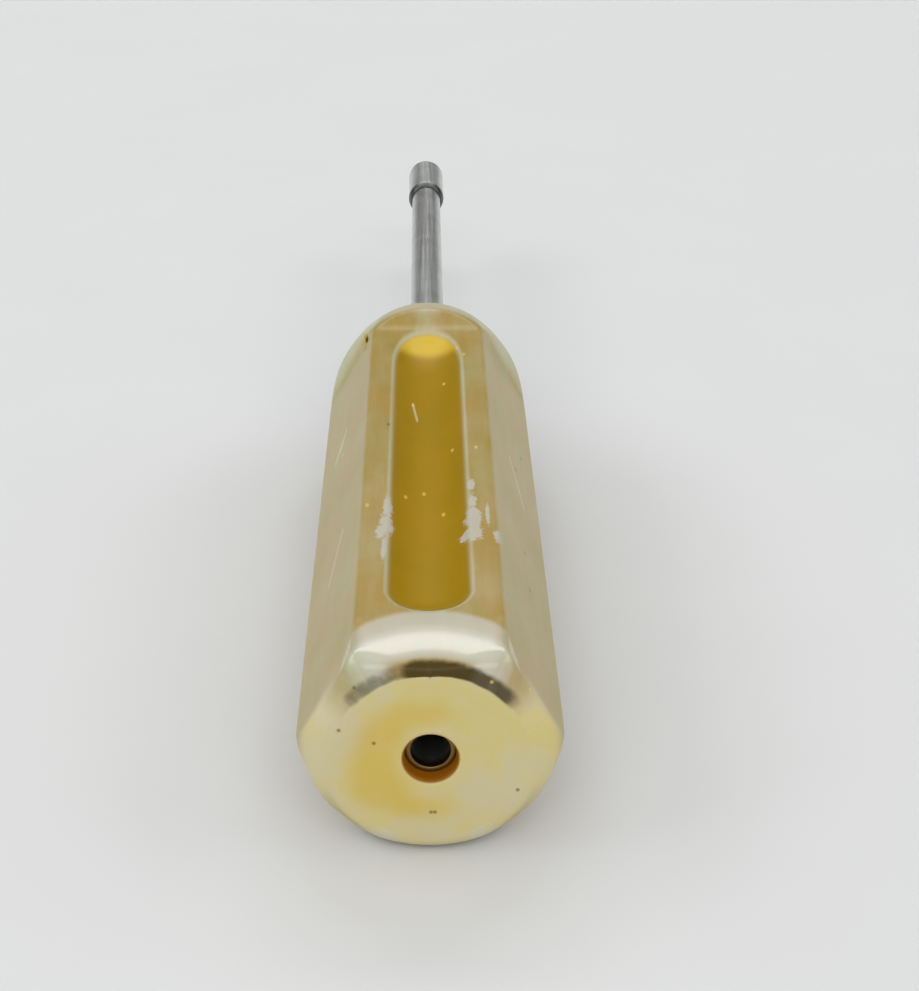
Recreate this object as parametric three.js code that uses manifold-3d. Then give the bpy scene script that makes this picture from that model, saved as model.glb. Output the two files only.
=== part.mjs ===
// A hollow-shaft hand tool: a fluted amber plastic handle, a steel tube through its whole length
// and a slightly larger socket sleeve on the tube's far end.
// Millimetres, +Z up. +Y runs along the tool's axis, from the butt to the tip. The origin is
// below the middle of the tool's length, level with the lowest point of its round nose.
import * as THREE from 'three';
import { mergeVertices } from 'three/addons/utils/BufferGeometryUtils.js';
import Module from 'manifold-3d';

const wasm = await Module();
wasm.setup();

// Driving dimensions. Every "at" is a distance along the axis from the butt face.
const OVERALL_LENGTH = 186;
const HANDLE_LENGTH = 97;
const HANDLE_RADIUS = 12.7; // the corners of the six-sided section lie on this radius
const GRIP_APOTHEM = 10.6; // the wide top and bottom flats, which hold the flutes
const SIDE_APOTHEM = 11.2; // the four plain side flats
const SIDE_NORMAL_DEG = 61.75; // turn from a wide flat's normal to a side flat's normal

const BUTT_FACE_RADIUS = 9.1;
const BUTT_ROLL_LENGTH = 5.2; // the butt's edge is a quarter of an ellipse, this long
const WIDE_EASE_LENGTH = 5.5; // the wide flats curve down over this length to the butt face
const WIDE_EASE_DROP = 1.4;
const NOSE_AT = 80;
const NOSE_END_RADIUS = 7.5;
const NOSE_ROLL_POWER = 1.6;
const RUNOUT_AT = 81; // the flats end here in a concave run-out
const RUNOUT_RADIUS = 6;

const FLUTE_DEPTH = 1.7;
const FLUTE_CUTTER_RADIUS = 6;
const FLUTE_NEAR_CENTRE = 13.2;
const FLUTE_RISE_AT = 70.5;
const FLUTE_RISE_RADIUS = 38.9;

const TUBE_RADIUS = 2.38;
const TUBE_BORE_RADIUS = 1.85;
const TUBE_START = 1.4;
const TUBE_END = 178;
const FIT_GAP = 0.04; // radial gap that stands for the press fits on the tube
const END_GAP = 0.3;
const BORE_MOUTH_RADIUS = 2.6;
const BORE_MOUTH_DEPTH = 0.5;

const SLEEVE_RADIUS = 3;
const SLEEVE_START = 171.5;
const SLEEVE_SHOULDER = 1.2;
const SLEEVE_EDGE = 0.35;
const SOCKET_ACROSS_FLATS = 4.2;

const ROUND_SEGMENTS = 72;
const TUBE_SEGMENTS = 32;
const ROLL_STEPS = 9;
const ARC_STEPS = 8;
const FLUTE_STEPS = 40;
const FLUTE_SEGMENTS = 20;
const BALL_SEGMENTS = 36;
const CUT_MARGIN = 4;

const degrees = THREE.MathUtils.degToRad;

// A closed three.js geometry as a manifold solid.
function solid(geometry) {
  const bare = geometry.clone();
  bare.deleteAttribute('normal');
  bare.deleteAttribute('uv');
  const merged = mergeVertices(bare, 1e-5);
  return new wasm.Manifold(new wasm.Mesh({
    numProp: 3,
    vertProperties: new Float32Array(merged.attributes.position.array),
    triVerts: new Uint32Array(merged.index.array),
  }));
}

// A manifold solid as a named mesh.
function named(name, shape, material) {
  const mesh = shape.getMesh();
  const geometry = new THREE.BufferGeometry();
  geometry.setAttribute('position', new THREE.BufferAttribute(mesh.vertProperties, 3));
  geometry.setIndex(new THREE.BufferAttribute(mesh.triVerts, 1));
  geometry.computeVertexNormals();
  const made = new THREE.Mesh(geometry, material);
  made.name = name;
  return made;
}

// A solid of revolution about the +Y axis from [radius, at] pairs that start and end on it.
function turned(pairs, segments) {
  const points = pairs.map(([radius, at]) => new THREE.Vector2(radius, at));
  return solid(new THREE.LatheGeometry(points, segments));
}

function rod(radius, start, end, segments) {
  return turned([[0, start], [radius, start], [radius, end], [0, end]], segments);
}

// The nose's radius: full at u = 0, down to its flat end at u = 1.
function noseRadius(u) {
  const drop = HANDLE_RADIUS - NOSE_END_RADIUS;
  return NOSE_END_RADIUS + drop * (1 - u ** NOSE_ROLL_POWER) ** (1 / NOSE_ROLL_POWER);
}

function roundBody() {
  const pairs = [[0, 0]];
  const buttDrop = HANDLE_RADIUS - BUTT_FACE_RADIUS;
  for (let i = 0; i <= ROLL_STEPS; i += 1) {
    const angle = (i / ROLL_STEPS) * (Math.PI / 2);
    const radius = BUTT_FACE_RADIUS + buttDrop * Math.sin(angle);
    pairs.push([radius, BUTT_ROLL_LENGTH * (1 - Math.cos(angle))]);
  }
  for (let i = 0; i <= ROLL_STEPS; i += 1) {
    const u = Math.sin((i / ROLL_STEPS) * (Math.PI / 2));
    pairs.push([noseRadius(u), NOSE_AT + (HANDLE_LENGTH - NOSE_AT) * u]);
  }
  pairs.push([0, HANDLE_LENGTH]);
  return turned(pairs, ROUND_SEGMENTS);
}

// What is milled off to leave one flat: eased down by easeDrop at the butt, straight along the
// handle, then curving out of the body at the nose. The outline is drawn as [at, height] and
// extruded across the flat.
function flatCutter(apothem, turn, easeDrop = 0) {
  const high = HANDLE_RADIUS + CUT_MARGIN;
  const outline = new THREE.Shape();
  outline.moveTo(-CUT_MARGIN, apothem - easeDrop);
  if (easeDrop > 0) {
    for (let i = 0; i <= ARC_STEPS; i += 1) {
      const angle = (i / ARC_STEPS) * (Math.PI / 2);
      outline.lineTo(
        WIDE_EASE_LENGTH * (1 - Math.cos(angle)),
        apothem - easeDrop * (1 - Math.sin(angle)),
      );
    }
  }
  outline.lineTo(RUNOUT_AT, apothem);
  const sweep = Math.acos(1 - (HANDLE_RADIUS + 1 - apothem) / RUNOUT_RADIUS);
  for (let i = 1; i <= ARC_STEPS; i += 1) {
    const angle = (sweep * i) / ARC_STEPS;
    outline.lineTo(
      RUNOUT_AT + RUNOUT_RADIUS * Math.sin(angle),
      apothem + RUNOUT_RADIUS * (1 - Math.cos(angle)),
    );
  }
  outline.lineTo(RUNOUT_AT + RUNOUT_RADIUS * Math.sin(sweep), high);
  outline.lineTo(-CUT_MARGIN, high);
  outline.closePath();
  const depth = 2 * HANDLE_RADIUS;
  const geometry = new THREE.ExtrudeGeometry(outline, { depth, bevelEnabled: false });
  geometry.translate(0, 0, -depth / 2);
  // The outline's [at, height] plane becomes the part's [Y, Z] plane.
  geometry.applyMatrix4(new THREE.Matrix4().makeBasis(
    new THREE.Vector3(0, 1, 0),
    new THREE.Vector3(0, 0, 1),
    new THREE.Vector3(1, 0, 0),
  ));
  geometry.rotateY(degrees(turn));
  return solid(geometry);
}

// The path of the ball-nosed cutter's centre that mills a flute: straight, then up and out.
function flutePath() {
  const height = GRIP_APOTHEM - FLUTE_DEPTH + FLUTE_CUTTER_RADIUS;
  const radius = FLUTE_RISE_RADIUS - FLUTE_CUTTER_RADIUS;
  const sweep = Math.acos(1 - (FLUTE_DEPTH + 1) / radius);
  const line = new THREE.LineCurve3(
    new THREE.Vector3(0, FLUTE_NEAR_CENTRE, height),
    new THREE.Vector3(0, FLUTE_RISE_AT, height),
  );
  const path = new THREE.CurvePath();
  path.add(line);
  let last = line.v2;
  for (let i = 1; i <= ARC_STEPS; i += 1) {
    const angle = (sweep * i) / ARC_STEPS;
    const next = new THREE.Vector3(
      0,
      FLUTE_RISE_AT + radius * Math.sin(angle),
      height + radius * (1 - Math.cos(angle)),
    );
    path.add(new THREE.LineCurve3(last, next));
    last = next;
  }
  return path;
}

function fluteCutter(turn) {
  const section = new THREE.Shape();
  section.absarc(0, 0, FLUTE_CUTTER_RADIUS, 0, 2 * Math.PI);
  const swept = new THREE.ExtrudeGeometry(section, {
    steps: FLUTE_STEPS,
    curveSegments: FLUTE_SEGMENTS,
    bevelEnabled: false,
    extrudePath: flutePath(),
  });
  const ball = new THREE.SphereGeometry(FLUTE_CUTTER_RADIUS, BALL_SEGMENTS, BALL_SEGMENTS / 2);
  ball.rotateX(Math.PI / 2);
  ball.translate(0, FLUTE_NEAR_CENTRE, GRIP_APOTHEM - FLUTE_DEPTH + FLUTE_CUTTER_RADIUS);
  swept.rotateY(degrees(turn));
  ball.rotateY(degrees(turn));
  return solid(swept).add(solid(ball));
}

function handle() {
  let shape = roundBody();
  for (const turn of [0, 180]) {
    shape = shape.subtract(flatCutter(GRIP_APOTHEM, turn, WIDE_EASE_DROP));
    shape = shape.subtract(fluteCutter(turn));
  }
  for (const turn of [SIDE_NORMAL_DEG, -SIDE_NORMAL_DEG]) {
    shape = shape.subtract(flatCutter(SIDE_APOTHEM, turn));
    shape = shape.subtract(flatCutter(SIDE_APOTHEM, turn + 180));
  }
  const bore = TUBE_RADIUS + FIT_GAP;
  return shape.subtract(turned([
    [0, -1],
    [BORE_MOUTH_RADIUS, -1],
    [BORE_MOUTH_RADIUS, 0],
    [bore, BORE_MOUTH_DEPTH],
    [bore, HANDLE_LENGTH + 1],
    [0, HANDLE_LENGTH + 1],
  ], TUBE_SEGMENTS));
}

function shaftTube() {
  const outside = rod(TUBE_RADIUS, TUBE_START, TUBE_END, TUBE_SEGMENTS);
  return outside.subtract(rod(TUBE_BORE_RADIUS, TUBE_START - 1, TUBE_END + 1, TUBE_SEGMENTS));
}

function tipSocket() {
  const bore = TUBE_RADIUS + FIT_GAP;
  const outside = turned([
    [0, SLEEVE_START],
    [bore + FIT_GAP, SLEEVE_START],
    [SLEEVE_RADIUS, SLEEVE_START + SLEEVE_SHOULDER],
    [SLEEVE_RADIUS, OVERALL_LENGTH - SLEEVE_EDGE],
    [SLEEVE_RADIUS - SLEEVE_EDGE, OVERALL_LENGTH],
    [0, OVERALL_LENGTH],
  ], TUBE_SEGMENTS);
  const cornerRadius = SOCKET_ACROSS_FLATS / Math.sqrt(3);
  return outside
    .subtract(rod(bore, SLEEVE_START - 1, TUBE_END + END_GAP, TUBE_SEGMENTS))
    .subtract(rod(cornerRadius, TUBE_END, OVERALL_LENGTH + 1, 6));
}

const amber = new THREE.MeshStandardMaterial({ color: 0xb89a45, roughness: 0.35, metalness: 0 });
const steel = new THREE.MeshStandardMaterial({ color: 0xa3a5a2, roughness: 0.4, metalness: 1 });
const tipSteel = new THREE.MeshStandardMaterial({ color: 0x999b98, roughness: 0.35, metalness: 1 });

const tool = new THREE.Group();
const handleShape = handle();
tool.position.set(0, -OVERALL_LENGTH / 2, -handleShape.boundingBox().min[2]);
tool.add(named('handle', handleShape, amber));
tool.add(named('shaft_tube', shaftTube(), steel));
tool.add(named('tip_socket', tipSocket(), tipSteel));

export default tool;
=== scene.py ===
"""Looks of a hollow-shaft hand driver: a fluted amber plastic handle, a steel tube and a socket tip.

The shapes are worked out in tool millimetres: x across, "at" along the axis from the butt face,
z up from the axis. place() turns them into the frame's metres.
"""

import math

import bpy
import numpy as np
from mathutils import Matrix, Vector


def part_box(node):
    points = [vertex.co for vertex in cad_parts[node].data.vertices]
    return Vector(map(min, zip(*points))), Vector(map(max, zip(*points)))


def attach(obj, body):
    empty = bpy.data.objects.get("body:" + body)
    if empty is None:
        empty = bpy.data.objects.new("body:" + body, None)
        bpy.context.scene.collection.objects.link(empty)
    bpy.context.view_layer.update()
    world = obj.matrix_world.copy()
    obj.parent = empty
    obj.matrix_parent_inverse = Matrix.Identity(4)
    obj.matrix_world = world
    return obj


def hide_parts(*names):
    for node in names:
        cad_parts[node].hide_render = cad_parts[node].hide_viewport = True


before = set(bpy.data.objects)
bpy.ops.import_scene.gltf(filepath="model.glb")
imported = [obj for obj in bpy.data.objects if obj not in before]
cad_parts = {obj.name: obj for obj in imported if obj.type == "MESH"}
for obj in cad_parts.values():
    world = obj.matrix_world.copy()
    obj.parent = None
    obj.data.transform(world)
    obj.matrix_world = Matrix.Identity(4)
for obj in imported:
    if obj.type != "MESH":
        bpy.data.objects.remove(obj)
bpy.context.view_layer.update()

MM = 0.001
HANDLE_LOW, HANDLE_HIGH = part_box("handle")
TUBE_LOW, TUBE_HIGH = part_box("shaft_tube")
TIP_LOW, TIP_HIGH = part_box("tip_socket")
BUTT_Y = HANDLE_LOW.y
AXIS_Z = (TUBE_LOW.z + TUBE_HIGH.z) / 2

# Sizes taken from the frame, in millimetres.
HANDLE_LENGTH = (HANDLE_HIGH.y - BUTT_Y) / MM
HANDLE_RADIUS = (HANDLE_HIGH.x - HANDLE_LOW.x) / 2 / MM
TUBE_RADIUS = (TUBE_HIGH.z - TUBE_LOW.z) / 2 / MM
TUBE_START = (TUBE_LOW.y - BUTT_Y) / MM
TUBE_END = (TUBE_HIGH.y - BUTT_Y) / MM
TIP_RADIUS = (TIP_HIGH.z - TIP_LOW.z) / 2 / MM
TIP_START = (TIP_LOW.y - BUTT_Y) / MM
TIP_END = (TIP_HIGH.y - BUTT_Y) / MM

# The handle's section and ends, as in the CAD model.
GRIP_APOTHEM = 10.6
SIDE_APOTHEM = 11.2
SIDE_NORMAL_DEG = 61.75
BUTT_FACE_RADIUS = 9.1
BUTT_ROLL_LENGTH = 5.2
WIDE_EASE_DROP = 1.4
NOSE_AT = 80.0
NOSE_END_RADIUS = 7.5
NOSE_ROLL_POWER = 1.6
RUNOUT_AT = 81.0
RUNOUT_RADIUS = 6.0
FLUTE_DEPTH = 1.7
FLUTE_CUTTER_RADIUS = 6.0
FLUTE_NEAR_CENTRE = 13.2
FLUTE_RISE_AT = 70.5
FLUTE_RISE_RADIUS = 38.9
FIT_GAP = 0.04
BORE_RADIUS = TUBE_RADIUS + FIT_GAP
BORE_MOUTH_RADIUS = 2.6
BORE_MOUTH_DEPTH = 0.5
TUBE_BORE_RADIUS = 1.85
SOCKET_ACROSS_FLATS = 4.2
SOCKET_ACROSS_CORNERS = SOCKET_ACROSS_FLATS / 0.88  # its corners are a little rounded
SOCKET_CHAMFER = 0.12
SOCKET_GAP = 0.3  # between the tube's end and the socket

# Softness and wear that the CAD model leaves out. Lengths are in millimetres.
FACET_EDGE = 0.3  # how far a facet's edge is rounded
FLUTE_EDGE = 0.5
SIDE_BLEND = 0.25
BUTT_BLEND = 1.6  # the top flat melts into the round butt over this much height
WIDE_EASE_LENGTH = 7.5  # a little longer and softer than the CAD model's
DOME_RADIUS = 7.5  # the top flat meets the rounded butt along arcs of this radius
TOP_ROLL_SHARE = 0.5  # the butt's edge at the top, as a share of its length at the sides
TOP_ROLL_FROM = 0.6  # as the cosine of the angle from the top
TOP_ROLL_SPAN = 0.25
WORN_FROM = 0.4  # where the worn underside starts, as the cosine of the angle from the bottom
WORN_SPAN = 0.35
WORN_BLEND = 0.6
WORN_STEP = 0.9  # the radius gained at once behind the butt face
WORN_STEP_LENGTH = 0.5
WORN_STEP_LESS = 0.2  # taken off the step at the very bottom
WORN_SLOPE = 0.63  # the radius gained for each millimetre after that
WORN_RISE = 1.2  # extra radius where the wear starts
NOWHERE = 4 * HANDLE_RADIUS  # stands for a surface that a ray doesn't meet
TUBE_EDGE = 0.12  # how far the tube's ends are rounded


def ease(value):
    """Smoothstep of a value clipped to 0..1."""
    t = np.clip(value, 0, 1)
    return t * t * (3 - 2 * t)


def smooth_min(a, b, k):
    """The smaller of two heights, with the edge between them rounded over k."""
    h = np.clip(1 - np.abs(a - b) / k, 0, 1)
    return np.minimum(a, b) - h * h * k / 4


def place(x, at, z):
    """Tool millimetres to the frame's metres."""
    return np.stack([x * MM, BUTT_Y + at * MM, AXIS_Z + z * MM], axis=-1)


def grid_piece(name, points, material, attributes=None):
    """A mesh from a (rows, columns, 3) grid whose rows and columns both close on themselves."""
    rows, columns = points.shape[:2]
    i, j = np.meshgrid(np.arange(rows), np.arange(columns), indexing="ij")
    i_next = (i + 1) % rows
    j_next = (j + 1) % columns
    corners = [i * columns + j, i * columns + j_next, i_next * columns + j_next, i_next * columns + j]
    faces = np.stack(corners, axis=-1).reshape(-1, 4)
    mesh = bpy.data.meshes.new(name)
    mesh.from_pydata(points.reshape(-1, 3).tolist(), [], faces.tolist())
    mesh.shade_smooth()
    for key, values in (attributes or {}).items():
        layer = mesh.attributes.new(key, "FLOAT", "POINT")
        layer.data.foreach_set("value", np.ascontiguousarray(values, np.float32).ravel())
    piece = bpy.data.objects.new(name, mesh)
    bpy.context.scene.collection.objects.link(piece)
    mesh.materials.append(material)
    return piece


# --- The handle's shape -----------------------------------------------------------------------


def handle_columns():
    """Angles from the top, in radians: close together over the fluted flats, wider elsewhere."""
    fluted_half = 36
    fluted = np.linspace(-fluted_half, fluted_half, 116, endpoint=False)
    side = np.linspace(fluted_half, 180 - fluted_half, 62, endpoint=False)
    return np.radians(np.concatenate([fluted, side, fluted + 180, side + 180]))


def quarter(u):
    """A quarter of a round: 0 where u is 1, rising steeply and levelling out at 1 where u is 0."""
    return np.sqrt(1 - np.clip(u, 0, 1) ** 2)


def round_profile(at):
    """The turned body's radius: a rounded butt, straight, then a rolled nose."""
    butt_drop = HANDLE_RADIUS - BUTT_FACE_RADIUS
    butt = BUTT_FACE_RADIUS + butt_drop * quarter(1 - at / BUTT_ROLL_LENGTH)
    u = np.clip((at - NOSE_AT) / (HANDLE_LENGTH - NOSE_AT), 0, 1)
    nose_drop = HANDLE_RADIUS - NOSE_END_RADIUS
    nose = NOSE_END_RADIUS + nose_drop * (1 - u**NOSE_ROLL_POWER) ** (1 / NOSE_ROLL_POWER)
    return np.minimum(butt, nose)


def butt_roll(theta, at):
    """The radius of the rounded butt, whose edge is shorter at the top."""
    share = 1 - (1 - TOP_ROLL_SHARE) * ease((np.cos(theta) - TOP_ROLL_FROM) / TOP_ROLL_SPAN)
    butt_drop = HANDLE_RADIUS - BUTT_FACE_RADIUS
    return BUTT_FACE_RADIUS + butt_drop * quarter(1 - at / (BUTT_ROLL_LENGTH * share))


def worn_limit(theta, at):
    """The butt's underside is worn round: there the radius grows slowly from the face."""
    down = -np.cos(theta)
    under = np.clip((down - WORN_FROM) / WORN_SPAN, 0, 1)
    step = WORN_STEP - WORN_STEP_LESS * ease((down - 0.85) / 0.15)
    limit = BUTT_FACE_RADIUS + step * quarter(1 - at / WORN_STEP_LENGTH) + WORN_SLOPE * at
    return limit + np.where(down < WORN_FROM, HANDLE_RADIUS, WORN_RISE * (1 - under) ** 2)


def flat_height(at, apothem):
    """A flat's height: level, then curving out of the body at the nose."""
    past = np.clip(at - RUNOUT_AT, 0, RUNOUT_RADIUS)
    return apothem + RUNOUT_RADIUS - np.sqrt(RUNOUT_RADIUS**2 - past**2)


def dome_at(theta, at):
    """Distance from the butt, with the arcs in which the top flat domes down to it as level lines."""
    across = GRIP_APOTHEM * np.clip(np.tan(theta), -1, 1)
    return at + across**2 / (2 * DOME_RADIUS)


def wide_height(theta, at):
    """A wide flat's height. The top one also curves down to the butt face."""
    drop = WIDE_EASE_DROP * (1 - quarter(1 - dome_at(theta, at) / WIDE_EASE_LENGTH))
    return flat_height(at, GRIP_APOTHEM) - drop * (np.cos(theta) > 0)


def flat_radius(theta, turn, height):
    """The radius at which a ray at theta meets the flat whose normal is at turn."""
    cosine = np.cos(theta - turn)
    return np.where(cosine > 0.2, height / np.maximum(cosine, 0.2), NOWHERE)


def flute_radius(theta, at, turn):
    """The radius at which a ray at theta meets the flute that a ball-nosed cutter milled."""
    path_radius = FLUTE_RISE_RADIUS - FLUTE_CUTTER_RADIUS
    past = np.clip(at - FLUTE_RISE_AT, 0, path_radius)
    rise = path_radius - np.sqrt(path_radius**2 - past**2)
    centre = GRIP_APOTHEM - FLUTE_DEPTH + FLUTE_CUTTER_RADIUS + rise
    before = np.clip(FLUTE_NEAR_CENTRE - at, 0, FLUTE_CUTTER_RADIUS)
    cutter = FLUTE_CUTTER_RADIUS**2 - before**2
    angle = theta - turn
    inside = cutter - (centre * np.sin(angle)) ** 2
    meets = (inside > 0) & (np.cos(angle) > 0) & (before < FLUTE_CUTTER_RADIUS)
    radius = centre * np.cos(angle) - np.sqrt(np.maximum(inside, 0))
    return np.where(meets, radius, NOWHERE)


def handle_radius(theta, at, profile):
    """The handle's radius with its flats and flutes, and the parts that its masks need."""
    wide = np.full(theta.shape, NOWHERE)
    flute = np.full(theta.shape, NOWHERE)
    for turn in (0, math.pi):
        wide = np.minimum(wide, flat_radius(theta, turn, wide_height(theta, at)))
        flute = np.minimum(flute, flute_radius(theta, at, turn))
    side = np.full(theta.shape, NOWHERE)
    for degrees in (SIDE_NORMAL_DEG, -SIDE_NORMAL_DEG, 180 - SIDE_NORMAL_DEG, 180 + SIDE_NORMAL_DEG):
        facet = flat_radius(theta, math.radians(degrees), flat_height(at, SIDE_APOTHEM))
        side = smooth_min(side, facet, FACET_EDGE)
    near_butt = np.clip(1 - at / WIDE_EASE_LENGTH, 0, 1)
    wide_blend = FACET_EDGE + (BUTT_BLEND - FACET_EDGE) * np.sqrt(near_butt)
    turned_body = np.where(at < NOSE_AT, butt_roll(theta, at), profile)
    body = smooth_min(turned_body, side, SIDE_BLEND)
    body = smooth_min(body, wide, wide_blend)
    body = smooth_min(body, worn_limit(theta, at), WORN_BLEND)
    return smooth_min(body, flute, FLUTE_EDGE), body, flute, wide, side


# Where the spacing of the handle's rows changes.
BUTT_ROWS_TO = 15
MIDDLE_ROWS_TO = 69
NOSE_ROWS_TO = 88


def handle_rows():
    """(at, profile radius) of every row, from the butt's face round to the bore and back."""
    face = np.linspace(BORE_MOUTH_RADIUS + 0.15, BUTT_FACE_RADIUS, 20)
    rows = [np.stack([np.zeros(20), face], axis=1)]
    roll = BUTT_ROLL_LENGTH * (1 - np.cos(np.linspace(0, math.pi / 2, 34)))
    stretches = [
        roll[1:],
        np.linspace(BUTT_ROLL_LENGTH, BUTT_ROWS_TO, 34)[1:],
        np.linspace(BUTT_ROWS_TO, MIDDLE_ROWS_TO, 70)[1:],
        np.linspace(MIDDLE_ROWS_TO, NOSE_AT, 28)[1:],
        np.linspace(NOSE_AT, NOSE_ROWS_TO, 34)[1:],
    ]
    u = np.sin(np.linspace(0, math.pi / 2, 22))
    stretches.append(NOSE_ROWS_TO + (HANDLE_LENGTH - NOSE_ROWS_TO) * u[1:])
    at = np.concatenate(stretches)
    rows.append(np.stack([at, round_profile(at)], axis=1))
    end = np.linspace(NOSE_END_RADIUS - 0.3, BORE_RADIUS + 0.1, 6)
    rows.append(np.stack([np.full(6, HANDLE_LENGTH), end], axis=1))
    bore = np.linspace(HANDLE_LENGTH - 0.1, BORE_MOUTH_DEPTH, 12)
    rows.append(np.stack([bore, np.full(12, BORE_RADIUS)], axis=1))
    rows.append(np.array([[0.12, BORE_MOUTH_RADIUS - 0.02]]))
    return np.concatenate(rows)


def spot(position, centre, reach):
    """1 at centre, falling to 0 at about twice reach, in tool millimetres."""
    total = 0
    for value, middle, size in zip(position, centre, reach):
        total = total + ((value - middle) / size) ** 2
    return np.exp(-total)


def window(value, start, end, soft):
    """1 between start and end, falling to 0 over soft outside them."""
    return np.clip((value - start) / soft + 1, 0, 1) * np.clip((end - value) / soft + 1, 0, 1)


ON_FACE = 0.001  # a row nearer than this to the butt lies on its face
MASK_EDGE = 0.3  # how softly the flutes and the side flats begin
RIM_WIDTH = 0.55  # of the pale rim round a flute, to each side
NOSE_PALE_AT = 84.2  # where the pale nose starts round the sides
NOSE_PALE_LATER = 2.8  # how much nearer the tip it starts at the top
NOSE_PALE_SOFT = 2.6
RAMP_HIGHLIGHT_FROM = 77.0  # the end of the flute's ramp; the light coming through the plastic there is painted in as a yellow highlight
RAMP_HIGHLIGHT_TO = 83.5
# Gouges where the tool has been knocked: centre (x, at, z), reach and depth.
NICKS = [
    ((-7.9, 82.3, 9.3), (0.4, 1.3, 0.5), 0.35),
    ((-7.95, 80.0, 9.05), (0.3, 0.7, 0.4), 0.25),
    ((-11.75, 87.1, 1.0), (0.6, 1.1, 0.6), 0.3),
    ((-12.0, 85.2, 0.5), (0.5, 0.5, 0.5), 0.25),
]
# Torn white patches along the flute's rims: centre (x, at) and reach. The last two are pale loops.
SCUFFS = [
    ((-4.25, 31.0), (0.55, 2.6)),
    ((-4.35, 27.0), (0.75, 2.6)),
    ((-4.9, 25.2), (0.6, 1.4)),
    ((-4.5, 21.5), (0.3, 3.0)),
    ((4.5, 36.0), (0.45, 1.6)),
    ((4.6, 32.0), (0.5, 1.8)),
    ((4.6, 28.2), (0.95, 2.7)),
    ((4.6, 24.8), (1.0, 1.8)),
    ((3.6, 24.6), (0.6, 1.0)),
    ((6.1, 29.0), (0.25, 2.6)),
    ((7.0, 24.2), (0.5, 1.6)),
]
TORN_SEED = 11
TORN_HEIGHT = 0.05
# Where the butt face has stayed clear: centre (x, z) and reach.
FACE_CLEAR = [
    ((-1.0, 4.9), (3.4, 1.7)),
    ((-4.6, 2.8), (2.4, 2.2)),
    ((-5.2, -0.8), (2.5, 2.4)),
    ((-4.8, -3.4), (2.7, 1.8)),
    ((-1.4, -5.5), (3.6, 1.5)),
]


def reaches_roll(profile):
    """Which rows are at least as far from the axis as the butt face's edge."""
    return profile > BUTT_FACE_RADIUS - 0.01


def butt_masks(theta, at, profile, radius):
    """Rings on the rounded butt: a dark ring next to the face, where the dark that the clear,
    polished edge reflects is painted in; behind it a painted highlight, and a wider pale band that is
    partly hazing and partly painted sheen.
    """
    degrees = np.degrees(np.arctan2(np.sin(theta), np.cos(theta)))
    across = np.minimum(np.abs(degrees), 180 - np.abs(degrees))
    arc = dome_at(theta, at)
    on_roll = reaches_roll(profile)
    # Painted dark ring next to the face: the edge there is clear and polished, and the dark it
    # reflects and shows through it is painted into the colour.
    from_face = radius - BUTT_FACE_RADIUS + 0.45 * at
    ring = ease(window(from_face, 0.0, 0.85, 1.0)) * on_roll
    strong = ease(window(degrees, -8, 42, 18))
    faint = 0.5 * ease(window(degrees, -46, -16, 12))
    dark = ring * np.maximum(strong, faint)
    # Painted highlight: the butt's top lightened along the arcs where the back light is reflected.
    painted_highlight = ease(window(arc, 2.6, 5.6, 1.1)) * ease(window(across, -1, 38, 10)) * on_roll
    # Pale band: partly real hazing, partly a painted sheen of grazing reflection.
    pale = ease(window(arc, 2.0, 8.2, 1.3)) * ease(window(across, -1, 28, 12)) * on_roll
    return dark, painted_highlight, pale


def face_mask(theta, at, profile, radius):
    """The butt face, spreading over the rounded butt except on top; at the very bottom it gives way
    to the body's darker amber, as painted shade on the underside.
    """
    on_roll = reaches_roll(profile)
    spread = ease(window(at, -1, 1.2, 2.4)) * ease((0.72 - np.cos(theta)) / 0.3)
    # Painted shade: near the bottom the face colour fades, leaving the darker amber as shade on the
    # underside next to the surface.
    shaded_underside = ease((radius - 9.7) / 0.7) * ease((-np.cos(theta) - 0.2) / 0.4)
    return np.where(at < ON_FACE, 1.0, spread * on_roll * (1 - 0.6 * shaded_underside))


def milled_mask(body, flute):
    """1 inside the flutes."""
    return np.clip((body - flute) / MASK_EDGE, 0, 1)


def press_nicks(radius, position, outside):
    """The radius with the nicks pressed in, and a mask of where they are, which also places painted
    shade in them.
    """
    nick_and_shade = np.zeros(radius.shape)
    for centre, reach, depth in NICKS:
        near = spot(position, centre, reach) * outside
        nick_and_shade = np.maximum(nick_and_shade, near)
        radius = radius - depth * near
    return radius, nick_and_shade


def tear_scuffs(radius, position, outside):
    """The radius with the scuffs roughened, and a mask of where they are."""
    x, at, z = position
    scuff = np.zeros(radius.shape)
    for centre, reach in SCUFFS:
        scuff = np.maximum(scuff, spot((x, at), centre, reach) * outside * (z > 0))
    torn = np.random.default_rng(TORN_SEED).normal(0, TORN_HEIGHT, radius.shape)
    return radius + np.clip(torn, -0.1, 0.1) * ease(scuff * 2 - 0.6), scuff


def clear_mask(position):
    """Where the butt face has stayed clear."""
    x, at, z = position
    clear = 0
    for centre, reach in FACE_CLEAR:
        clear = clear + spot((x, z), centre, reach) * (at < ON_FACE)
    return np.clip(clear, 0, 1)


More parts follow.
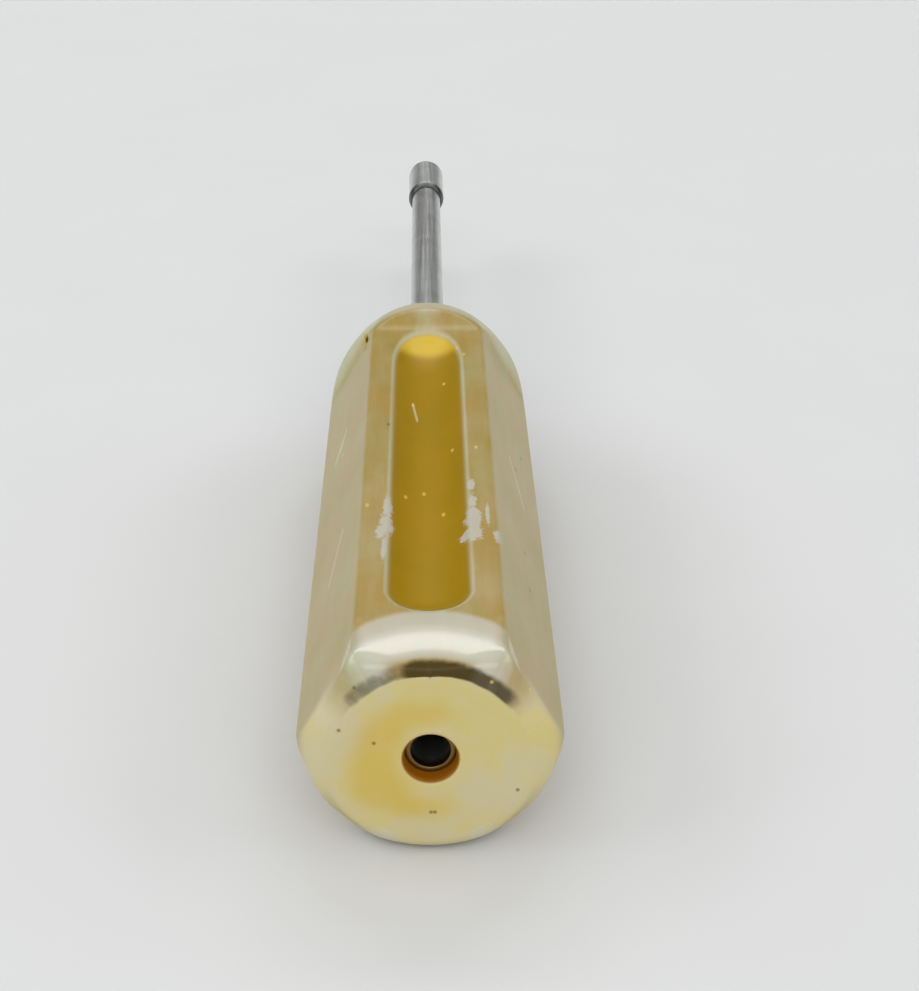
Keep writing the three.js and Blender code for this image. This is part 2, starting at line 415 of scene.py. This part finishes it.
def handle_piece(material):
    """The handle, with its wear pressed in and stored as masks for its material."""
    rows = handle_rows()
    theta = handle_columns()
    at = np.repeat(rows[:, :1], len(theta), axis=1)
    profile = np.repeat(rows[:, 1:], len(theta), axis=1)
    theta = np.repeat(theta[None, :], len(rows), axis=0)
    radius, body, flute, wide, side = handle_radius(theta, at, profile)
    outside = reaches_roll(profile)
    outside |= (at > NOSE_AT) & (profile > NOSE_END_RADIUS - 0.05)
    radius = np.where(outside, radius, profile)
    position = (radius * np.sin(theta), at, radius * np.cos(theta))
    radius, nick_and_shade = press_nicks(radius, position, outside)
    radius, scuff = tear_scuffs(radius, position, outside)
    dark, painted_highlight, pale = butt_masks(theta, at, profile, radius)
    nose_from = NOSE_PALE_AT + NOSE_PALE_LATER * ease((np.cos(theta) - 0.78) / 0.12)
    glossy = ease(window(dome_at(theta, at), 2.1, 8.0, 1.1)) * outside
    milled = milled_mask(body, flute)
    masks = {
        "milled": milled * outside,
        "rim": np.clip(1 - np.abs(body - flute + 0.1) / RIM_WIDTH, 0, 1) * outside,
        "side": np.clip((wide - side) / MASK_EDGE + 0.5, 0, 1) * outside,
        "face": face_mask(theta, at, profile, radius),
        "nose": ease(window(at, nose_from, HANDLE_LENGTH + 1, NOSE_PALE_SOFT)),
        "bore": np.where(profile < BORE_MOUTH_RADIUS, 1.0, 0.0),
        "clear": clear_mask(position),
        # The three masks below hold painted light: a painted dark ring, a painted highlight, and a
        # pale band that is partly painted sheen.
        "dark": dark,
        "painted_highlight": painted_highlight,
        "pale": pale,
        "gloss": glossy * (np.cos(theta) > 0.3),
        # Painted highlight on the flute's ramp.
        "ramp_highlight": ease(window(at, RAMP_HIGHLIGHT_FROM, RAMP_HIGHLIGHT_TO, 2.5)) * milled,
        # Nicks, with painted shade in them.
        "nick_and_shade": nick_and_shade,
        "scuff": scuff,
    }
    points = place(radius * np.sin(theta), at, radius * np.cos(theta))
    return grid_piece("amber_handle", points, material, masks)


# --- The tube and the tip ---------------------------------------------------------------------


def turned_piece(name, rows, columns, material):
    """A turned piece from a closed loop of (at, radius) rows."""
    rows = np.array(rows)
    theta = np.linspace(0, 2 * math.pi, columns, endpoint=False)[None, :]
    at = np.repeat(rows[:, :1], columns, axis=1)
    x = rows[:, 1:] * np.sin(theta)
    z = rows[:, 1:] * np.cos(theta)
    return grid_piece(name, place(x, at, z), material)


def lip(at, radius, size, start_deg, steps=5):
    """A rounded edge: points on a small arc, from start_deg through a quarter turn."""
    angles = np.radians(np.linspace(start_deg, start_deg + 90, steps))
    return [(at + size * math.cos(a), radius + size * math.sin(a)) for a in angles]


def tube_piece(material):
    """The tube, with its four edges rounded."""
    size = TUBE_EDGE
    rows = []
    rows += lip(TUBE_START + size, TUBE_RADIUS - size, size, 90)[::-1]
    for at in np.linspace(TUBE_START + 2, TUBE_END - 2, 60):
        rows.append((at, TUBE_RADIUS))
    rows += lip(TUBE_END - size, TUBE_RADIUS - size, size, 0)[::-1]
    rows += lip(TUBE_END - size, TUBE_BORE_RADIUS + size, size, 270)[::-1]
    for at in np.linspace(TUBE_END - 2, TUBE_START + 2, 30):
        rows.append((at, TUBE_BORE_RADIUS))
    rows += lip(TUBE_START + size, TUBE_BORE_RADIUS + size, size, 180)[::-1]
    return turned_piece("drawn_tube", rows, 72, material)


def hexagon(theta, across_flats, across_corners):
    """The radius of a hexagon whose corners are rounded off."""
    sixth = math.pi / 3
    turn = (theta + sixth / 2) % sixth - sixth / 2
    return np.minimum(across_flats / 2 / np.cos(turn), across_corners / 2)


def sleeve_outside():
    """(at, radius) rows of the sleeve, from its sloping shoulder to its rounded mouth."""
    bore = BORE_RADIUS
    outside = [(TIP_START, bore + 0.05), (TIP_START, bore + 0.12), (TIP_START + 0.15, bore + 0.22)]
    outside += [(TIP_START + 0.7, TIP_RADIUS - 0.22), (TIP_START + 1.0, TIP_RADIUS - 0.07)]
    outside += [(TIP_START + 1.35, TIP_RADIUS)]
    for at in np.linspace(TIP_START + 2, TIP_END - 0.9, 16):
        outside.append((at, TIP_RADIUS))
    outside += [(TIP_END - 0.45, TIP_RADIUS), (TIP_END - 0.2, TIP_RADIUS - 0.08)]
    outside += [(TIP_END - 0.06, TIP_RADIUS - 0.22), (TIP_END, TIP_RADIUS - 0.38)]
    return outside


def tip_piece(material):
    """The sleeve: a turned outside with a shoulder, and a bore that ends in a six-sided socket."""
    columns = 96
    theta = np.linspace(0, 2 * math.pi, columns, endpoint=False)
    socket_start = TUBE_END + SOCKET_GAP
    socket = hexagon(theta, SOCKET_ACROSS_FLATS, SOCKET_ACROSS_CORNERS)
    outside = sleeve_outside()
    rows = [np.full(columns, radius) for _, radius in outside]
    places = [at for at, _ in outside]
    for at, grow in ((TIP_END, SOCKET_CHAMFER), (TIP_END - SOCKET_CHAMFER, 0.0)):
        rows.append(socket + grow)
        places.append(at)
    for at in np.linspace(TIP_END - 0.5, socket_start, 6):
        rows.append(socket)
        places.append(at)
    for at in np.linspace(socket_start - 0.02, TIP_START + 0.2, 8):
        rows.append(np.full(columns, BORE_RADIUS))
        places.append(at)
    radius = np.stack(rows)
    at = np.repeat(np.array(places)[:, None], columns, axis=1)
    points = place(radius * np.sin(theta), at, radius * np.cos(theta))
    return grid_piece("socket_sleeve", points, material)


# --- Materials --------------------------------------------------------------------------------


def linear(red, green, blue):
    """A display colour, 0 to 255, as linear light."""
    out = []
    for value in (red, green, blue):
        c = value / 255
        out.append(c / 12.92 if c <= 0.04045 else ((c + 0.055) / 1.055) ** 2.4)
    return (*out, 1.0)


class Nodes:
    """Short calls for building a node tree."""

    def __init__(self, tree):
        self.tree = tree

    def link(self, source, target):
        self.tree.links.new(source, target)

    def feed(self, socket, value):
        if isinstance(value, bpy.types.NodeSocket):
            self.link(value, socket)
        else:
            socket.default_value = value

    def coordinates(self, scale=(1, 1, 1)):
        place_node = self.tree.nodes.new("ShaderNodeTexCoord")
        mapping = self.tree.nodes.new("ShaderNodeMapping")
        mapping.inputs["Scale"].default_value = scale
        self.link(place_node.outputs["Object"], mapping.inputs["Vector"])
        return mapping.outputs["Vector"]

    def noise(self, vector, scale, detail=4.0, roughness=0.55):
        node = self.tree.nodes.new("ShaderNodeTexNoise")
        node.inputs["Scale"].default_value = scale
        node.inputs["Detail"].default_value = detail
        node.inputs["Roughness"].default_value = roughness
        self.link(vector, node.inputs["Vector"])
        return node.outputs["Fac"]

    def mask(self, name):
        node = self.tree.nodes.new("ShaderNodeAttribute")
        node.attribute_name = name
        return node.outputs["Fac"]

    def math(self, kind, a, b=0.0, clamp=False):
        node = self.tree.nodes.new("ShaderNodeMath")
        node.operation = kind
        node.use_clamp = clamp
        self.feed(node.inputs[0], a)
        self.feed(node.inputs[1], b)
        return node.outputs[0]

    def nearest(self, vector, places, squeeze):
        """Distance in metres to the nearest place, with distances along Y multiplied by squeeze."""
        squeezed = self.tree.nodes.new("ShaderNodeVectorMath")
        squeezed.operation = "MULTIPLY"
        squeezed.inputs[1].default_value = (1, squeeze, 1)
        self.link(vector, squeezed.inputs[0])
        found = 1.0
        for x, y, z in places:
            distance = self.tree.nodes.new("ShaderNodeVectorMath")
            distance.operation = "DISTANCE"
            distance.inputs[1].default_value = (x, y * squeeze, z)
            self.link(squeezed.outputs[0], distance.inputs[0])
            found = self.math("MINIMUM", distance.outputs["Value"], found)
        return found

    def ramp(self, value, low, high, to_low=0.0, to_high=1.0):
        node = self.tree.nodes.new("ShaderNodeMapRange")
        node.interpolation_type = "SMOOTHSTEP"
        self.feed(node.inputs["Value"], value)
        node.inputs["From Min"].default_value = low
        node.inputs["From Max"].default_value = high
        node.inputs["To Min"].default_value = to_low
        node.inputs["To Max"].default_value = to_high
        return node.outputs["Result"]

    def mix(self, amount, a, b):
        node = self.tree.nodes.new("ShaderNodeMix")
        node.data_type = "RGBA"
        self.feed(node.inputs["Factor"], amount)
        self.feed(node.inputs["A"], a)
        self.feed(node.inputs["B"], b)
        return node.outputs["Result"]

    def bump(self, height, strength, distance):
        node = self.tree.nodes.new("ShaderNodeBump")
        node.inputs["Strength"].default_value = strength
        node.inputs["Distance"].default_value = distance
        self.link(height, node.inputs["Height"])
        return node.outputs["Normal"]


class MaterialNodes(Nodes):
    """A new material's node tree, with a Principled shader joined to its output."""

    def __init__(self, name):
        self.material = bpy.data.materials.new(name)
        self.material.use_nodes = True
        super().__init__(self.material.node_tree)
        self.tree.nodes.clear()
        output = self.tree.nodes.new("ShaderNodeOutputMaterial")
        self.shader = self.tree.nodes.new("ShaderNodeBsdfPrincipled")
        self.link(self.shader.outputs["BSDF"], output.inputs["Surface"])


# Small marks on the handle, as (x, at, z).
BRIGHT_SPECKS = [
    (2.72, 47.1, 9.5),
    (-2.45, 35.5, 9.4),
    (-0.5, 37.2, 8.9),
    (1.55, 31.9, 9.1),
    (1.98, 67.1, 9.2),
    (3.7, 75.8, 10.5),
    (4.5, 73.4, 10.6),
    (5.3, 45.6, 10.6),
    (-6.4, 31.3, 10.6),
    (-9.96, 55.6, 5.1),
    (4.2, 0.75, 9.6),
    (5.55, 0.3, 8.15),
    (9.2, 1.1, 6.7),
    (-1.75, 60.8, 9.15),
]
DARK_SPECKS = [
    (-8.35, 0.0, 3.2),
    (-5.18, 0.0, 1.77),
    (0.0, 0.0, -5.9),
    (0.35, 0.0, -5.9),
    (8.04, 0.0, -3.5),
    (-6.84, 0.3, 7.6),
    (10.13, 31.2, 4.8),
    (10.27, 23.6, 4.55),
    (11.0, 58.3, 3.2),
    (10.1, 51.7, 4.9),
    (-4.5, 52.0, 10.6),
]
SCRATCHES = [
    ((-10.32, 58.5, 4.46), (-9.75, 62.0, 5.5)),
    ((-10.9, 57.0, 3.4), (-10.1, 60.5, 4.9)),
    ((-1.76, 60.8, 9.15), (-1.28, 56.8, 9.03)),
    ((9.4, 52.0, 6.2), (10.6, 44.0, 3.9)),
    ((-9.1, 33.0, 6.7), (-10.3, 25.0, 4.5)),
]
SCRATCH_STEPS = 11


def spots(places):
    """Marks as points in the frame's metres."""
    return [tuple(float(v) for v in place(*mark)) for mark in places]


def scratch_points():
    """Points along every scratch, close enough for their marks to join."""
    points = []
    for start, end in SCRATCHES:
        for step in np.linspace(0, 1, SCRATCH_STEPS):
            points.append(tuple(np.array(start) * (1 - step) + np.array(end) * step))
    return points


def amber_haze_and_highlight(n, streak):
    """How worn the plastic is, from 0 where it is clear to 1 where it is fully whitened; on top of
    the butt it also carries a painted highlight and a painted sheen as whitening.
    """
    cloud = n.noise(n.coordinates(), 120, 4)
    haze_and_highlight = n.ramp(cloud, 0.3, 0.7, 0.17, 0.33)
    haze_and_highlight = n.math("ADD", haze_and_highlight, n.math("MULTIPLY", n.mask("side"), 0.2))
    haze_and_highlight = n.math("ADD", haze_and_highlight, n.math("MULTIPLY", n.mask("nose"), 0.55))
    haze_and_highlight = n.math("ADD", haze_and_highlight, n.ramp(streak, 0.35, 0.7, -0.05, 0.05))
    wiped = n.math("SUBTRACT", 1.0, n.mask("milled"), clamp=True)
    haze_and_highlight = n.math("MULTIPLY", haze_and_highlight, wiped)
    haze_and_highlight = n.math("ADD", haze_and_highlight, n.math("MULTIPLY", n.mask("rim"), 0.5))
    # Painted light as whitening on top of the butt: the pale band, partly hazing and partly painted
    # sheen, and the painted highlight.
    haze_and_highlight = n.math("ADD", haze_and_highlight, n.math("MULTIPLY", n.mask("pale"), 0.35))
    haze_and_highlight = n.math("ADD", haze_and_highlight, n.math("MULTIPLY", n.mask("painted_highlight"), 0.3))
    return n.math("MINIMUM", haze_and_highlight, 1.0)


def amber_colour(n, whole, haze_and_highlight):
    """Clear amber under hazing, the paler butt face, the painted highlight on the flute's ramp and
    the pale band on the butt's top, partly painted sheen.
    """
    tint = n.noise(n.coordinates((1, 0.5, 1)), 210, 3)
    clear = n.mix(n.ramp(tint, 0.35, 0.65), linear(158, 127, 6), linear(164, 129, 8))
    hazed = n.mix(n.ramp(tint, 0.4, 0.6), linear(190, 196, 165), linear(198, 193, 169))
    colour = n.mix(haze_and_highlight, clear, hazed)
    patch = n.math("ADD", n.mask("clear"), n.ramp(n.noise(whole, 260, 3), 0.3, 0.7, -0.15, 0.15))
    cloud = n.ramp(n.noise(whole, 190, 4), 0.35, 0.65)
    bare = n.mix(cloud, linear(212, 197, 132), linear(208, 198, 158))
    face = n.mix(n.ramp(patch, 0.0, 1.25), bare, linear(210, 184, 92))
    colour = n.mix(n.mask("face"), colour, face)
    # Painted highlight: the flute's ramp painted bright yellow as if lit through the plastic.
    colour = n.mix(n.mask("ramp_highlight"), colour, linear(208, 176, 40))
    # The pale band on top of the butt: partly hazing, partly painted sheen.
    return n.mix(n.math("MULTIPLY", n.mask("pale"), 0.5), colour, linear(206, 203, 192))


def amber_damage_and_shade(n, whole, colour, torn):
    """The torn patches, the painted dark ring on the butt, the bore and the nicks with their painted
    shade, over colour.
    """
    colour = n.mix(n.math("MULTIPLY", torn, 0.85), colour, linear(192, 189, 176))
    # Painted dark ring on the butt: the dark that its clear, polished edge reflects and shows through
    # it, mottled and laid into the colour.
    mottled = n.ramp(n.noise(whole, 500, 3), 0.3, 0.7, -0.16, 0.16)
    dark = n.ramp(n.math("ADD", n.mask("dark"), mottled), 0.1, 1.0)
    dark = n.math("MULTIPLY", dark, n.ramp(n.mask("dark"), 0.02, 0.3))
    colour = n.mix(dark, colour, linear(76, 62, 16))
    colour = n.mix(n.mask("bore"), colour, linear(150, 92, 10))
    # Nicks: an amber tint round each, and near black in the middle as painted shade in the gouge.
    colour = n.mix(n.ramp(n.mask("nick_and_shade"), 0.15, 0.5), colour, linear(190, 150, 20))
    return n.mix(n.ramp(n.mask("nick_and_shade"), 0.5, 0.8), colour, linear(46, 40, 10))


def amber_plastic():
    """Amber plastic, hazed and worn, glossy on the rounded butt, with painted highlights, a painted
    dark ring on the butt and painted shade in its nicks.
    """
    n = MaterialNodes("hazed_amber")
    whole = n.coordinates()
    streak = n.noise(n.coordinates((1, 0.1, 1)), 900, 4, 0.65)
    haze_and_highlight = amber_haze_and_highlight(n, streak)
    fine = n.noise(whole, 1500, 4, 0.7)
    rough_edge = n.math("ADD", n.mask("scuff"), n.ramp(fine, 0.3, 0.7, -0.22, 0.22))
    torn = n.ramp(rough_edge, 0.32, 0.6)
    colour = amber_damage_and_shade(n, whole, amber_colour(n, whole, haze_and_highlight), torn)

    bright = n.ramp(n.nearest(whole, spots(BRIGHT_SPECKS), 0.45), 0.0001, 0.00028, 0.7, 0.0)
    dim = n.ramp(n.nearest(whole, spots(DARK_SPECKS), 0.5), 0.00008, 0.00028, 0.75, 0.0)
    scratch = n.ramp(n.nearest(whole, spots(scratch_points()), 0.2), 0.00006, 0.0002, 0.6, 0.0)
    colour = n.mix(bright, colour, linear(226, 196, 96))
    colour = n.mix(dim, colour, linear(110, 88, 30))
    colour = n.mix(scratch, colour, linear(214, 206, 176))
    n.feed(n.shader.inputs["Base Color"], colour)

    rough = n.ramp(haze_and_highlight, 0, 1, 0.3, 0.5)
    rough = n.math("ADD", rough, n.math("MULTIPLY", torn, 0.35), clamp=True)
    n.feed(n.shader.inputs["Roughness"], rough)
    n.shader.inputs["IOR"].default_value = 1.49
    n.shader.inputs["Specular IOR Level"].default_value = 0.22
    reflection = n.mix(n.mask("milled"), (1, 1, 1, 1), linear(235, 176, 30))
    n.feed(n.shader.inputs["Specular Tint"], reflection)
    n.feed(n.shader.inputs["Coat Weight"], n.mask("gloss"))
    n.shader.inputs["Coat Roughness"].default_value = 0.13
    n.shader.inputs["Subsurface Weight"].default_value = 0.12
    n.shader.inputs["Subsurface Radius"].default_value = (1.0, 0.6, 0.15)
    n.shader.inputs["Subsurface Scale"].default_value = 0.0015
    height = n.math("ADD", n.math("MULTIPLY", streak, 0.3), n.math("MULTIPLY", torn, 1.5))
    height = n.math("SUBTRACT", height, n.math("ADD", bright, scratch))
    n.feed(n.shader.inputs["Normal"], n.bump(height, 0.2, 0.0001))
    return n.material


def steel(name, light, dark, seam_at, tarnish_and_shade, reach):
    """Drawn steel: long streaks, faint mottling, and a darker tint within reach of a seam: tarnish on
    the tube, painted shade at the sleeve's shoulder.
    """
    n = MaterialNodes(name)
    whole = n.coordinates()
    streak = n.noise(n.coordinates((1, 0.02, 1)), 2600, 4, 0.7)
    mottle = n.noise(whole, 260, 4)
    colour = n.mix(n.ramp(mottle, 0.35, 0.7), light, dark)
    split = n.tree.nodes.new("ShaderNodeSeparateXYZ")
    n.link(whole, split.inputs[0])
    off = n.math("SUBTRACT", split.outputs["Y"], float(BUTT_Y + seam_at * MM))
    near = n.ramp(n.math("ABSOLUTE", off), 0.3 * reach * MM, reach * MM, 1.0, 0.0)
    # The darker tint near the seam: real tarnish on the tube, painted shade at the sleeve's shoulder.
    colour = n.mix(near, colour, tarnish_and_shade)
    n.feed(n.shader.inputs["Base Color"], colour)
    n.feed(n.shader.inputs["Roughness"], n.ramp(streak, 0.3, 0.7, 0.30, 0.39))
    n.shader.inputs["Metallic"].default_value = 1.0
    n.feed(n.shader.inputs["Normal"], n.bump(streak, 0.06, 0.00003))
    return n.material


def tube_steel():
    """The shaft's steel, tarnished at the end that shows in the butt."""
    light = linear(216, 218, 215)
    dark = linear(200, 202, 199)
    return steel("tube_steel", light, dark, TUBE_START, linear(130, 104, 60), 1.5)


def tip_steel():
    """The sleeve's steel, darkened at its shoulder with painted shade."""
    light = linear(230, 232, 229)
    dark = linear(214, 216, 213)
    # The dark grey at the shoulder is painted shade.
    return steel("tip_steel", light, dark, TIP_START + 0.5, linear(92, 94, 93), 1.3)


def floor_paper():
    """The pale, matt surface that the tool lies on."""
    n = MaterialNodes("pale_surface")
    grain = n.noise(n.coordinates(), 30, 3)
    n.feed(n.shader.inputs["Base Color"], n.mix(grain, linear(220, 221, 221), linear(224, 225, 225)))
    n.shader.inputs["Roughness"].default_value = 0.8
    n.shader.inputs["Specular IOR Level"].default_value = 0.2
    return n.material


# --- Floor, light and camera ------------------------------------------------------------------

ROOM = 0.46  # brightness of most of the room
STRIP = 0.06  # brightness of the dark strip behind the tool
BACK_POWER = 10.0
FRONT_POWER = 17.0
LEFT_POWER = 9.0
RIGHT_POWER = 6.0
FLOOR_HALF = 3.0
FLOOR_GAP = 0.00002
BUTT_REST_AT = 1.8  # where the butt's underside touches the surface
NOSE_REST_AT = 85.5


def make_floor():
    """The tool rests on its round nose and its butt, so the surface leans a little with them."""
    low_butt = AXIS_Z - GRIP_APOTHEM * MM
    slope = (0 - low_butt) / ((NOSE_REST_AT - BUTT_REST_AT) * MM)
    touch_y = BUTT_Y + NOSE_REST_AT * MM
    corners = []
    for x, y in ((-1, -1), (1, -1), (1, 1), (-1, 1)):
        y_world = y * FLOOR_HALF
        corners.append((x * FLOOR_HALF, y_world, slope * (y_world - touch_y) - FLOOR_GAP))
    mesh = bpy.data.meshes.new("surface")
    mesh.from_pydata(corners, [], [(0, 1, 2, 3)])
    mesh.materials.append(floor_paper())
    floor = bpy.data.objects.new("surface", mesh)
    bpy.context.scene.collection.objects.link(floor)


def make_camera():
    """Behind and above the butt, looking down along the tool."""
    camera = bpy.data.cameras.new("camera")
    camera.lens = 68.88
    camera.sensor_width = 36
    camera.clip_start = 0.01
    view = bpy.data.objects.new("camera", camera)
    view.location = (0, BUTT_Y - 0.1458, AXIS_Z + 0.098)
    view.rotation_euler = (math.radians(90 - 26), 0, math.radians(-1.04))
    bpy.context.scene.collection.objects.link(view)
    bpy.context.scene.camera = view


def make_world():
    """A pale room: even in front, and behind the tool a dark strip just above the horizon."""
    world = bpy.data.worlds.new("room")
    bpy.context.scene.world = world
    world.use_nodes = True
    n = Nodes(world.node_tree)
    direction = n.tree.nodes.new("ShaderNodeTexCoord")
    split = n.tree.nodes.new("ShaderNodeSeparateXYZ")
    n.link(direction.outputs["Generated"], split.inputs[0])
    up = split.outputs["Z"]
    below_strip = n.ramp(up, 0.03, 0.16, ROOM - STRIP, 0.0)
    above_strip = n.ramp(up, 0.4, 0.55, STRIP, ROOM)
    behind = n.math("ADD", below_strip, above_strip)
    share = n.ramp(split.outputs["Y"], -0.1, 0.5)
    dimmer = n.math("MULTIPLY", n.math("SUBTRACT", behind, ROOM), share)
    background = n.tree.nodes["Background"]
    n.link(n.math("ADD", dimmer, ROOM), background.inputs["Strength"])
    background.inputs["Color"].default_value = (1.0, 1.0, 1.0, 1)


def make_softbox(name, distance, elevation, size, power, azimuth=0):
    """A soft light that points at the butt; an elevation over 90 degrees is on the camera's side."""
    rise = math.radians(elevation)
    turn = math.radians(azimuth)
    butt = Vector((0, BUTT_Y, AXIS_Z))
    level = math.cos(rise)
    away = Vector((-level * math.sin(turn), level * math.cos(turn), math.sin(rise)))
    light = bpy.data.lights.new(name, "AREA")
    light.shape = "RECTANGLE"
    light.size, light.size_y = size
    light.energy = power
    lamp = bpy.data.objects.new(name, light)
    lamp.location = butt + away * distance
    lamp.rotation_euler = (-away).to_track_quat("-Z", "Y").to_euler()
    bpy.context.scene.collection.objects.link(lamp)


def main():
    make_camera()
    make_floor()
    make_world()
    make_softbox("back_softbox", 2.0, 44, (1.9, 0.45), BACK_POWER)
    make_softbox("front_fill", 2.0, 140, (2.4, 1.4), FRONT_POWER)
    make_softbox("left_softbox", 1.8, 36, (1.8, 0.8), LEFT_POWER, 82)
    make_softbox("right_softbox", 1.8, 36, (1.8, 0.8), RIGHT_POWER, -82)
    for piece, node, slot in (
        (handle_piece(amber_plastic()), "handle", "amber_plastic"),
        (tube_piece(tube_steel()), "shaft_tube", "shaft_steel"),
        (tip_piece(tip_steel()), "tip_socket", "tip_steel"),
    ):
        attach(piece, "root")
        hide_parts(node)
    bpy.context.scene.view_settings.view_transform = "Standard"


main()
